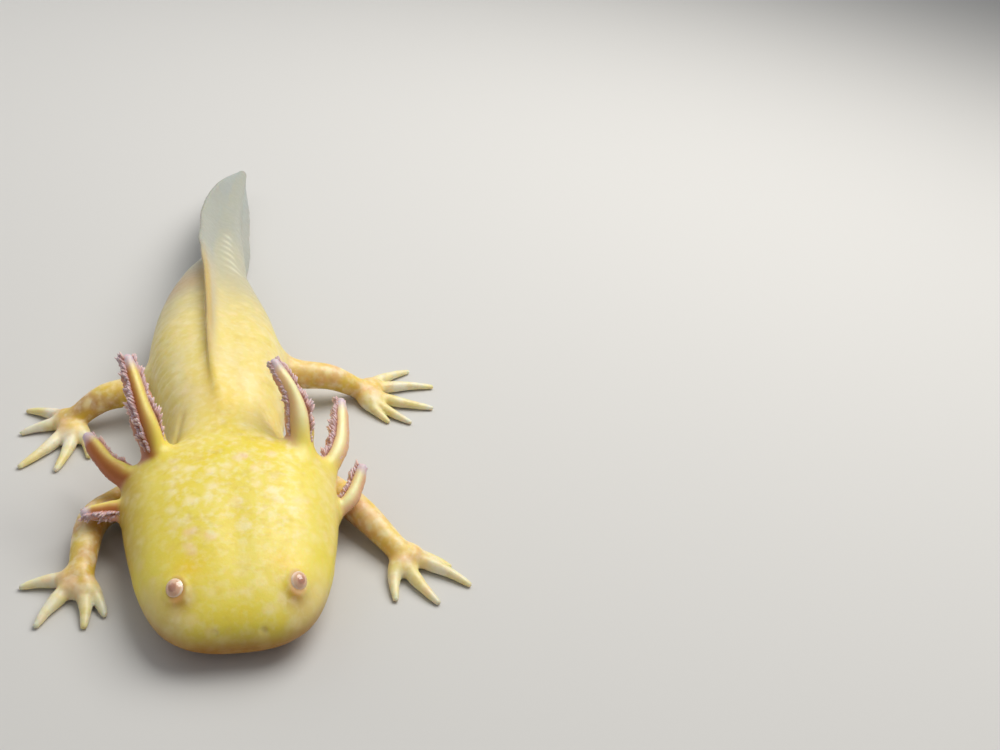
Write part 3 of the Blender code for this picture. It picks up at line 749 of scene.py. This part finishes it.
def refine(mesh):
    """Cut the faces in four on the face, and on the hands and feet."""
    points, _ = mesh_points(mesh)
    chosen = (points[:, 1] < FACE_END_Y) & (np.abs(points[:, 0]) < FACE_HALF)
    for rods in LIMB_RODS:
        digits = np.vstack([path for path, _ in rods[1:]])
        chosen |= near_path(points, digits, HAND_MARGIN) & (points[:, 2] < HAND_TOP)
    build = bmesh.new()
    build.from_mesh(mesh)
    build.verts.ensure_lookup_table()
    edges = [e for e in build.edges if chosen[e.verts[0].index] and chosen[e.verts[1].index]]
    bmesh.ops.subdivide_edges(build, edges=edges, cuts=1, use_grid_fill=True)
    bmesh.ops.triangulate(build, faces=[f for f in build.faces if len(f.verts) > 4])
    build.to_mesh(mesh)
    build.free()


def place_mesh(mesh, points):
    """Put points in millimetres into a mesh, in the row frame."""
    mesh.vertices.foreach_set("co", (points * MM + ORIGIN).astype(np.float32).ravel())
    mesh.update()


def add_object(name, data):
    """A new object in the scene."""
    thing = bpy.data.objects.new(name, data)
    bpy.context.scene.collection.objects.link(thing)
    return thing


def new_material(name):
    """A material, with its nodes, links and shader."""
    material = bpy.data.materials.new(name)
    material.use_nodes = True
    tree = material.node_tree
    return material, tree.nodes, tree.links, tree.nodes["Principled BSDF"]


def set_values(node, values):
    """Set a node's named inputs."""
    for name, value in values.items():
        node.inputs[name].default_value = value


def add_piece(name, mesh, material, nodes=(), place=Matrix()):
    """A shown piece that rides on the one body and stands for the named CAD nodes."""
    piece = add_object(name, mesh)
    mesh.materials.append(material)
    mesh.shade_smooth()
    piece.matrix_world = place
    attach(piece, "root")
    if nodes:
        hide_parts(*nodes)


def mix(a, b, share):
    """Colour a, or colours, moved by a share for each point towards colour b."""
    share = share[:, None]
    return a * (1 - share) + b * share


def painted(tone, layers):
    """Colours with layers over them, each a colour and its share at each point."""
    for colour, share in layers:
        tone = mix(tone, colour, share)
    return tone


def limb_tones(q, rods):
    """Distance to a limb with its digits, and its colours with painted light on top and painted
    shade below, at each point.
    """
    path, radii = rods[0]
    limb, place = rod_distance(q, path, radii)
    half = np.interp(place, np.linspace(0, 1, len(radii)), radii)
    above = (q[:, 2] - at_place(path, place)[:, 2]) / half
    reaches, places = zip(*[rod_distance(q, *rod) for rod in rods[1:]])
    digit = np.min(reaches, axis=0)
    along = np.choose(np.argmin(reaches, axis=0), places)
    on_digit = fade(limb - digit, -0.5, 0.8)
    skin = painted(LIMB_TONE, (
        # painted light on the limb's top; painted shade below it, low on the digits and over the
        # right limbs
        (LIT_TOP_TONE, 0.45 * fade(above, 0.3, 0.95)),
        (JOINT_TONE, 0.5 * bump(place - 0.66, 0.09)),
        (SHADE_TONE, 0.8 * fade(above, 0.35, -0.6) * (1 - on_digit)),
        (JOINT_TONE, 0.6 * on_digit * bump(along - 0.16, 0.2)),
        (DIGIT_TONE, on_digit * fade(along, 0.2, 0.5)),
        (SHADE_TONE, 0.4 * on_digit * fade(q[:, 2], 0.9, 0.2)),
        (SHADE_TONE, 0.42 * (1 - on_digit) * (q[:, 0] < 0)),
    ))
    return np.minimum(limb, digit), skin, on_digit


def gill_tones(q, gill):
    """Distance to a gill's stalk, and its colours with painted light and shade, at each point."""
    stalk, place, side, above = gill_distance(q, gill)
    near, far = gill[-1]
    # right gills: orange-red flanks darkened by painted shade; left gills: paler flanks and ridges,
    # painted light
    ridge_side, flank, ridge = 0.4, SHADED_GILL_TONE, RIDGE_TONE
    if gill[0][0, 0] > 0:
        ridge_side, flank, ridge = 0.3, LIT_GILL_TONE, LIT_RIDGE_TONE
    root = fade(place, 0.42, 0.12) * fade(above, -0.5, 0.1) * fade(side, -0.9, 0)
    return stalk, painted(flank, (
        (WEB_TONE, min(far, 1) * fade(side, 0.75, 1.15)),
        (WEB_TONE, 0.8 * min(near, 1) * fade(side, -0.85, -1.3)),
        (ridge, bump(side - ridge_side, 0.65) * fade(above, -0.1, 0.6)),
        (HEAD_TONE, 0.9 * root),
        (TIP_TONE, fade(place, 0.84, 1)),
    ))


def tail_marks(y, up, rise):
    """Pale slanting marks in a row below the tail's upper edge."""
    below = up - rise
    wave = 0.5 + 0.5 * np.sin(2 * np.pi * (y - 2.2 * below) / MARK_PITCH)
    return wave ** 2 * bump(below + 1.2, 0.95) * fade(y, 122, 128) * fade(y, 161, 155)


def body_tones(points, across, up, rise, low):
    """The colours of head, trunk and tail without their fins, with painted light and shade on the
    head's sides, snout, underside, eyes and beside the dorsal fin.
    """
    y, z, side = points[:, 1], points[:, 2], np.abs(points[:, 0])
    layers = [(colour, fade(y, start, full)) for colour, start, full in BODY_TONES]
    layers.append((PATCH_TONE, 0.7 * bump(across, 5) * bump(y - 62, 9) * (up > 0)))
    layers.append((CHEEK_AND_LIT_SIDE_TONE, 0.75 * fade(side, 7, 12) * fade(y, 15, 8) * fade(z, 15, 11)))
    # eye patches: a gold patch, and painted shadow below and ahead of each eye
    for middle in EYE_MIDDLES:
        for inner, behind, size, colour in EYE_PATCHES:
            way = points[:, :2] - middle[:2] - (-inner * np.sign(middle[0]), behind)
            near = bump(np.sqrt((way ** 2).sum(1)), size)
            layers.append((colour, 0.8 * near * (up > 0)))
    # painted light and shade on the head's sides: painted shade on the right edge, paler painted
    # light on the left edge
    edge = 0.5 * (fade(side, 15, 23) * fade(y, 52, 42) * fade(y, 14, 22))
    # painted shadow of the dorsal fin, which leans to the right, on the right flank near the tail's
    # base
    flank = fade(across, 0, -2.5) * fade(y, 108, 126) * fade(y, 150, 140)
    layers += (
        (SHADE_TONE, edge * (points[:, 0] < 0)),
        (CHEEK_AND_LIT_SIDE_TONE, edge * (points[:, 0] > 0)),
        # painted shade on the low front of the snout
        (SNOUT_SHADE_TONE, 0.9 * fade(z, 11, 5) * fade(y, 17, 2)),
        (SHADE_TONE, 0.5 * fade(low, -0.3, 0.5) * fade(y, *TRUNK_END)),
        (FIN_SHADOW_TONE, 0.8 * flank * fade(up / rise, 0, 0.6)),
        # painted shade on the underside of head, trunk and tail
        (UNDERSIDE_SHADE_TONE, 0.8 * fade(low, 0.3, 0.95) * fade(y, 170, 130)),
    )
    layers += [(colour, fade(y, start, full)) for colour, start, full in TAIL_TONES]
    # painted shade in the groove on the right of the dorsal fin's base, under its lean
    groove_shade = 0.6 * bump(across + 2.2, 1.6) * fade(up - rise, -1.6, -0.2)
    layers.append((FIN_GROOVE_SHADE_TONE, groove_shade * fade(y, 62, 72) * fade(y, 140, 120)))
    return painted(HEAD_TONE, layers)


def blade_tones(y, up, rise):
    """The colours of the fins, with the dorsal one's golden free edge over the trunk."""
    height = smooth_curve(DORSAL_FIN[:, 0], DORSAL_FIN[:, 1], y)
    edge = fade((up - rise) / height, 0.6, 0.95) * fade(y, *TRUNK_END) * (up > 0)
    layers = [(EDGE_TONE, 0.6 * edge)]
    layers += [(colour, fade(y, start, full)) for colour, start, full in FIN_TONES]
    return painted(BLADE_TONE, layers)


def body_spots(y, side, low):
    """How spotted head, trunk and tail are."""
    spots = 1 - 0.45 * fade(y, 40, 60) - 0.5 * fade(y, 88, 122)
    spots *= 1 - 0.8 * fade(low, -0.6, 0.1)
    spots *= 1 - 0.45 * fade(y, 24, 14)
    return spots * (1 - 0.6 * fade(side, 10, 17) * fade(y, 50, 40))


def skin_tones(points):
    """Each point's smooth colour, painted light and shade included, and how spotted it is."""
    across, up, _, rise, drop = leaning(points)
    y = points[:, 1]
    low = np.clip(-up / np.maximum(np.where(up > 0, rise, drop), 6), -1, 1)
    spots = body_spots(y, np.abs(points[:, 0]), low)
    body = body_distance(points)
    fin = fade(body, 0.4, 2.2) * fade(y, 66, 80)
    rim = np.min([(((points - middle + (0, 0.8, 0)) / EYE_RIM_HALVES) ** 2).sum(1)
                  for middle in EYE_MIDDLES], axis=0)
    rim = fade(rim, 1.5, 0.6)
    tone = painted(body_tones(points, across, up, rise, low), (
        (blade_tones(y, up, rise), fin),
        (MARK_TONE, 0.65 * tail_marks(y, up, rise) * (across > 0)),
        (RIM_TONE, 0.7 * rim),
    ))
    limbs, gills = np.full((2, len(points)), FAR)
    limb_parts, gill_parts = [], []
    for rods in LIMB_RODS:
        near = near_rods(points, rods)
        limb, skin, on_digit = limb_tones(points[near], rods)
        limbs[near] = np.minimum(limbs[near], limb)
        limb_parts.append((near, skin, on_digit))
    for gill in GILL_FRAMES.values():
        near = np.flatnonzero(near_path(points, gill[0], PART_MARGIN))
        stalk, skin = gill_tones(points[near], gill)
        gills[near] = np.minimum(gills[near], stalk)
        gill_parts.append((near, skin, stalk))
    on_limb = fade(limbs - np.minimum(body, gills), 1, -2.5)
    on_gill = fade(gills - np.minimum(body, limbs), 0.8, -1.2)
    for near, skin, on_digit in limb_parts:
        tone[near] = mix(tone[near], skin, on_limb[near])
        spots[near] += (1 - 0.1 * on_digit - spots[near]) * on_limb[near]
    for near, skin, stalk in gill_parts:
        mine = stalk <= gills[near] + 1e-6
        near, skin = near[mine], skin[mine]
        tone[near] = mix(tone[near], skin, on_gill[near])
    bare = np.maximum(on_gill, np.maximum(fin * (1 - on_limb), rim))
    return tone, spots * (1 - bare)


def skin_material():
    """Moist mottled skin, coloured by the tone and spots that the mesh carries."""
    material, nodes, links, shader = new_material("axolotl_skin")

    def blended(base, colour, factor):
        node = nodes.new("ShaderNodeMix")
        node.data_type = "RGBA"
        links.new(base, node.inputs[6])
        node.inputs[7].default_value = (*colour, 1)
        links.new(factor, node.inputs[0])
        return node.outputs[2]

    def combine(a, b, operation="MULTIPLY"):
        node = nodes.new("ShaderNodeMath")
        node.operation = operation
        links.new(a, node.inputs[0])
        if isinstance(b, bpy.types.NodeSocket):
            links.new(b, node.inputs[1])
        else:
            node.inputs[1].default_value = b
        return node.outputs[0]

    def ranged(value, low, high, out_low=0, out_high=1):
        node = nodes.new("ShaderNodeMapRange")
        node.interpolation_type = "SMOOTHSTEP"
        links.new(value, node.inputs["Value"])
        set_values(node, {"From Min": low, "From Max": high, "To Min": out_low, "To Max": out_high})
        return node.outputs["Result"]

    place = nodes.new("ShaderNodeTexCoord").outputs["Object"]

    def noise(scale, detail=3, output="Fac"):
        node = nodes.new("ShaderNodeTexNoise")
        set_values(node, {"Scale": scale, "Detail": detail})
        links.new(place, node.inputs["Vector"])
        return node.outputs[output]

    def attribute(name, output):
        node = nodes.new("ShaderNodeAttribute")
        node.attribute_name = name
        return node.outputs[output]

    tone, spots = attribute("tone", "Color"), attribute("spots", "Fac")
    bent = nodes.new("ShaderNodeVectorMath")
    bent.operation = "MULTIPLY_ADD"
    links.new(noise(WARP_SCALE, 2, "Color"), bent.inputs[0])
    bent.inputs[1].default_value = 3 * (WARP_REACH,)
    links.new(place, bent.inputs[2])
    cells = nodes.new("ShaderNodeTexVoronoi")
    cells.feature = "SMOOTH_F1"
    set_values(cells, FLECK_CELLS)
    links.new(bent.outputs[0], cells.inputs["Vector"])
    fleck = ranged(cells.outputs["Distance"], 0.6, 0.12)
    lot = nodes.new("ShaderNodeSeparateColor")
    links.new(cells.outputs["Color"], lot.inputs["Color"])
    fleck = combine(fleck, ranged(lot.outputs["Red"], -0.1, 0.6))
    fleck = combine(fleck, ranged(noise(FLECK_PATCH_SCALE), 0.28, 0.46))
    fleck = combine(fleck, spots)
    gold = combine(ranged(noise(GOLD_SCALE, 4), 0.36, 0.64), spots)
    colour = blended(tone, GOLD_SPECK, combine(gold, GOLD_SHARE))
    colour = blended(colour, FLECK_TONE, combine(fleck, FLECK_SHARE))
    pink = combine(ranged(noise(PINK_SCALE), 0.5, 0.68), combine(fleck, PINK_SHARE))
    colour = blended(colour, PINK_SPECK, pink)
    for speck, scale, start, full, share in SPECKS:
        amount = combine(ranged(noise(scale, 2), start, full), share)
        colour = blended(colour, speck, combine(amount, spots))
    links.new(colour, shader.inputs["Base Color"])
    set_values(shader, SKIN_LOOK)
    gloss = ranged(noise(GLOSS_SCALE, 2), 0.3, 0.7, *GLOSS_ROUGHNESS)
    links.new(gloss, shader.inputs["Roughness"])
    pores = combine(noise(PORE_SCALE, 2), PORE_SHARE)
    rough = nodes.new("ShaderNodeBump")
    set_values(rough, BUMP_LOOK)
    links.new(combine(pores, noise(DIMPLE_SCALE), "ADD"), rough.inputs["Height"])
    links.new(rough.outputs["Normal"], shader.inputs["Normal"])
    return material


def set_tones(mesh, tones):
    """Give a mesh its base colour at each vertex."""
    colours = mesh.attributes.new("tone", "FLOAT_COLOR", "POINT")
    rgba = np.hstack((tones, np.ones((len(tones), 1)))).astype(np.float32)
    colours.data.foreach_set("color", rgba.ravel())


def make_skin(material):
    """The one skin over head, body, fins, limbs and gill stalks."""
    points, faces = surface_nets(grid_field())
    mesh = bpy.data.meshes.new("axolotl_skin")
    mesh.from_pydata(points.tolist(), [], faces.tolist())
    points, edges = mesh_points(mesh)
    for _ in range(RELAX_ROUNDS):
        points = settle(relax(points, edges, COARSE_RELAX))
    mesh.vertices.foreach_set("co", points.astype(np.float32).ravel())
    refine(mesh)
    points, edges = mesh_points(mesh)
    for _ in range(RELAX_ROUNDS):
        points = settle(relax(points, edges, FINE_RELAX))
    points = settle(points)
    points[:, 2] = np.maximum(points[:, 2], 0)
    tone, spots = skin_tones(points)
    set_tones(mesh, tone)
    layer = mesh.attributes.new("spots", "FLOAT", "POINT")
    layer.data.foreach_set("value", spots.astype(np.float32))
    place_mesh(mesh, points)
    flesh = [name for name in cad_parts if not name.startswith("eye_")]
    add_piece("axolotl_skin", mesh, material, flesh)


def filament_mesh(name, roots, ways, bends, lengths):
    """Thin tapering bent rods in one mesh, paler towards their tips."""
    ring = 2 * np.pi * np.arange(FILAMENT_SIDES) / FILAMENT_SIDES
    first = unit(np.cross(ways, bends) + 1e-9)
    second = np.cross(ways, first)
    rows = []
    for share, size in FILAMENT_PROFILE:
        spots = roots + (share * lengths)[:, None] * ways + (share ** 2 * lengths)[:, None] * bends
        for angle in ring:
            rows.append(spots + size * (math.cos(angle) * first + math.sin(angle) * second))
    tips = roots + lengths[:, None] * (1.08 * ways + 1.1 * bends)
    points = np.stack(rows + [tips], axis=1)
    sides, each = FILAMENT_SIDES, points.shape[1]
    last = each - 1 - sides
    around = [(i, (i + 1) % sides) for i in range(sides)]
    faces = [(a + i, a + sides + i, a + sides + j, a + j)
             for a in range(0, last, sides) for i, j in around]
    faces += [(last + i, each - 1, last + j) for i, j in around]
    faces.append(tuple(range(sides)))
    every = [tuple(number * each + corner for corner in face)
             for number in range(len(roots)) for face in faces]
    mesh = bpy.data.meshes.new(name)
    mesh.from_pydata(points.reshape(-1, 3).tolist(), [], every)
    shares = np.repeat([share for share, _ in FILAMENT_PROFILE], FILAMENT_SIDES)
    shares = np.tile(np.append(shares, 1), len(roots))
    set_tones(mesh, mix(FILAMENT_TONE, FILAMENT_TIP_TONE, shares))
    place_mesh(mesh, points.reshape(-1, 3))
    return mesh


def make_filaments(material):
    """Short crowded filaments in tufts along both edges of each gill's stalk."""
    chance = np.random.default_rng(FILAMENT_SEED)
    for name, gill in GILL_FRAMES.items():
        path, ways, level, upright, _, (near, far) = gill
        length = np.sqrt((np.diff(path, axis=0) ** 2).sum(1)).sum()
        count = int(length / FILAMENT_PITCH)
        place = np.tile(np.linspace(0.12, 1, count), 2 * FILAMENT_LAYERS)
        side = np.repeat((-1.0, 1.0), FILAMENT_LAYERS * count)
        layer = np.tile(np.repeat(np.arange(FILAMENT_LAYERS), count), 2)
        place = np.clip(place + chance.uniform(-0.6, 0.6, len(place)) / count, 0.1, 1)
        stalk, web = gill_sizes(place, side, gill)
        way, out, over = (at_place(rows, place) for rows in (ways, level, upright))
        out = out * side[:, None]
        highest = np.where(side < 0, 30 * near - 15, 10)
        turn = np.radians(highest - (highest + 45) * layer / (FILAMENT_LAYERS - 1))
        across, above = np.cos(turn), np.sin(turn)
        roots = at_place(path, place) + ((stalk - 0.3 + 0.6 * web) * across)[:, None] * out
        roots += ((stalk - 0.3) * above)[:, None] * over
        tuft = tufts(place, side, gill)
        heading = out + (0.75 + 0.7 * place ** 3 + 0.25 * tuft)[:, None] * way
        heading += (0.7 * above - 0.15 - 0.2 * tuft)[:, None] * over
        heading = unit(heading + chance.normal(0, FILAMENT_SPREAD, heading.shape))
        bend = 0.25 * way - 0.15 * over + chance.normal(0, 0.1, heading.shape)
        reach = np.where(side > 0, far, near) * fade(place, 0, 0.3)
        reach *= (0.8 + 0.5 * tuft) * chance.uniform(0.75, 1.1, len(place))
        mesh = filament_mesh("filaments_" + name, roots, heading, bend, 0.7 * reach + 0.25)
        add_piece("filaments_" + name, mesh, material)


def eye_material():
    """A glossy eye, brown-pink in the middle and with a pale ring round that."""
    material, nodes, links, shader = new_material("axolotl_eye")
    place = nodes.new("ShaderNodeTexCoord").outputs["Object"]
    parts = nodes.new("ShaderNodeSeparateXYZ")
    links.new(place, parts.inputs[0])
    noise = nodes.new("ShaderNodeTexNoise")
    noise.inputs["Scale"].default_value = EYE_NOISE_SCALE
    links.new(place, noise.inputs["Vector"])
    wobble = nodes.new("ShaderNodeMath")
    wobble.operation = "MULTIPLY_ADD"
    links.new(noise.outputs["Fac"], wobble.inputs[0])
    wobble.inputs[1].default_value = EYE_MOTTLE
    links.new(parts.outputs["Z"], wobble.inputs[2])
    span = nodes.new("ShaderNodeMapRange")
    links.new(wobble.outputs[0], span.inputs["Value"])
    front = EYE_RADIUS * MM * (1 + CORNEA_RISE)
    set_values(span, {"From Min": 0.5 * EYE_MOTTLE, "From Max": front + 0.5 * EYE_MOTTLE})
    ramp = nodes.new("ShaderNodeValToRGB")
    links.new(span.outputs["Result"], ramp.inputs["Fac"])
    stops = ramp.color_ramp.elements
    for stop, (position, colour) in zip(stops, (EYE_RINGS[0], EYE_RINGS[-1])):
        stop.position, stop.color = position, (*colour, 1)
    for position, colour in EYE_RINGS[1:-1]:
        stops.new(position).color = (*colour, 1)
    links.new(ramp.outputs["Color"], shader.inputs["Base Color"])
    set_values(shader, EYE_LOOK)
    return material


def make_eyes():
    """A long round eye with a slightly raised front where each CAD eye is."""
    material = eye_material()
    radius, step = EYE_RADIUS * MM, 0.2
    for name, middle in zip(("eye_right", "eye_left"), EYE_MIDDLES):
        distances = body_distance(middle + step * np.vstack((np.eye(3), -np.eye(3))))
        aside, along = EYE_AIM
        outward = unit(distances[:3] - distances[3:]) + (aside * np.sign(middle[0]), along, 0)
        turn = Vector(outward).to_track_quat("Z", "Y").to_matrix()
        mesh = bpy.data.meshes.new(name + "_ball")
        build = bmesh.new()
        bmesh.ops.create_uvsphere(build, u_segments=48, v_segments=32, radius=radius)
        for vert in build.verts:
            vert.co *= 1 + CORNEA_RISE * max(vert.co.z / radius, 0) ** 6
            spot = turn @ vert.co
            spot.y *= EYE_LENGTH
            vert.co = turn.transposed() @ spot
        build.to_mesh(mesh)
        build.free()
        place = Matrix.Translation(Vector(middle * MM + ORIGIN)) @ turn.to_4x4()
        add_piece(name + "_ball", mesh, material, (name,), place)


def make_camera():
    """A camera at the picture's height, turn, tilt and lens."""
    data = bpy.data.cameras.new("camera")
    data.sensor_width, data.lens = 36, CAMERA_LENS
    camera = add_object("camera", data)
    turn, down, roll = (math.radians(angle) for angle in CAMERA_ANGLES)
    ahead = Vector((math.sin(turn) * math.cos(down), math.cos(turn) * math.cos(down),
                    -math.sin(down)))
    right = Vector((math.cos(turn), -math.sin(turn), 0))
    above = right.cross(ahead)
    side = right * math.cos(roll) + above * math.sin(roll)
    above = above * math.cos(roll) - right * math.sin(roll)
    camera.matrix_world = Matrix((side, above, -ahead)).transposed().to_4x4()
    camera.location = Vector(ORIGIN) + Vector(CAMERA_PLACE) * MM
    bpy.context.scene.camera = camera


def make_studio():
    """A plain pale floor and soft square lights."""
    mesh = bpy.data.meshes.new("floor")
    corners = ((-1, -1), (1, -1), (1, 1), (-1, 1))
    spots = [(x * FLOOR_HALF, y * FLOOR_HALF, 0) for x, y in corners]
    mesh.from_pydata(spots, [], [(0, 1, 2, 3)])
    material, _, _, shader = new_material("floor")
    set_values(shader, FLOOR_LOOK)
    mesh.materials.append(material)
    floor = add_object("floor", mesh)
    world = bpy.data.worlds.new("studio")
    world.use_nodes = True
    set_values(world.node_tree.nodes["Background"], SKY_LOOK)
    bpy.context.scene.world = world
    for name, place, target, size, power, colour in LIGHTS:
        data = bpy.data.lights.new(name, "AREA")
        data.shape, data.size, data.energy, data.color = "SQUARE", size, power, colour
        light = add_object(name, data)
        light.location = place
        aim = Vector(target) - Vector(place)
        light.rotation_euler = aim.to_track_quat("-Z", "Y").to_euler()
    bpy.context.scene.view_settings.view_transform = "Standard"


MOIST_SKIN = skin_material()
make_skin(MOIST_SKIN)
make_filaments(MOIST_SKIN)
make_eyes()
make_camera()
make_studio()
